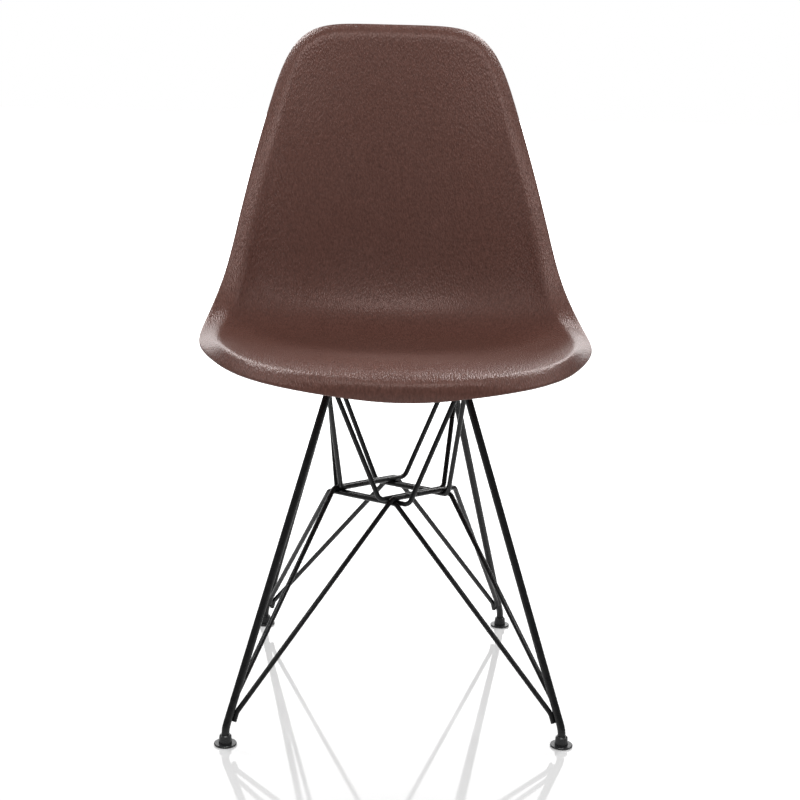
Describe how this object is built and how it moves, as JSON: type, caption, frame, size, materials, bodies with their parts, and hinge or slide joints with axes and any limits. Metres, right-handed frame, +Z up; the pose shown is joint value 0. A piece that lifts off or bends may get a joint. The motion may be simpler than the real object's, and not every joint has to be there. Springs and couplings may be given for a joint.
{
  "type": "moulded plastic shell chair",
  "caption": "Dining side chair: a moulded plastic seat shell with a rolled rim on a welded wire base with crossing braces and push-on floor glides.",
  "frame": {"origin": "on the floor, under the middle of the chair's bounding box", "axes": "+Z up; -Y towards the front of the seat, the way the sitter faces; +X to the right of the picture, which is the sitter's left hand side"},
  "size_m": [0.4742, 0.5277, 0.8131],
  "materials": {
    "shell_plastic": "fine-grained satin",
    "base_paint": "satin black paint",
    "glide_plastic": "smooth satin",
    "pad_rubber": "matte",
    "insert_brass": "turned",
    "fixing_zinc": "zinc plated"
  },
  "bodies": {
    "root": {"seat_shell": "shell_plastic", "threaded_insert_front_left": "insert_brass", "shock_pad_front_left": "pad_rubber", "washer_front_left": "fixing_zinc", "mounting_screw_front_left": "fixing_zinc", "threaded_insert_front_right": "insert_brass", "shock_pad_front_right": "pad_rubber", "washer_front_right": "fixing_zinc", "mounting_screw_front_right": "fixing_zinc", "threaded_insert_rear_left": "insert_brass", "shock_pad_rear_left": "pad_rubber", "washer_rear_left": "fixing_zinc", "mounting_screw_rear_left": "fixing_zinc", "threaded_insert_rear_right": "insert_brass", "shock_pad_rear_right": "pad_rubber", "washer_rear_right": "fixing_zinc", "mounting_screw_rear_right": "fixing_zinc", "left_mounting_plate": "base_paint", "right_mounting_plate": "base_paint", "front_leg_hoop": "base_paint", "rear_leg_hoop": "base_paint", "upper_brace_front_left": "base_paint", "upper_brace_front_right": "base_paint", "upper_brace_rear_left": "base_paint", "upper_brace_rear_right": "base_paint", "lower_brace_front_left": "base_paint", "lower_brace_front_right": "base_paint", "lower_brace_rear_left": "base_paint", "lower_brace_rear_right": "base_paint", "glide_front_left": "glide_plastic", "glide_front_right": "glide_plastic", "glide_rear_left": "glide_plastic", "glide_rear_right": "glide_plastic"}
  },
  "joints": []
}
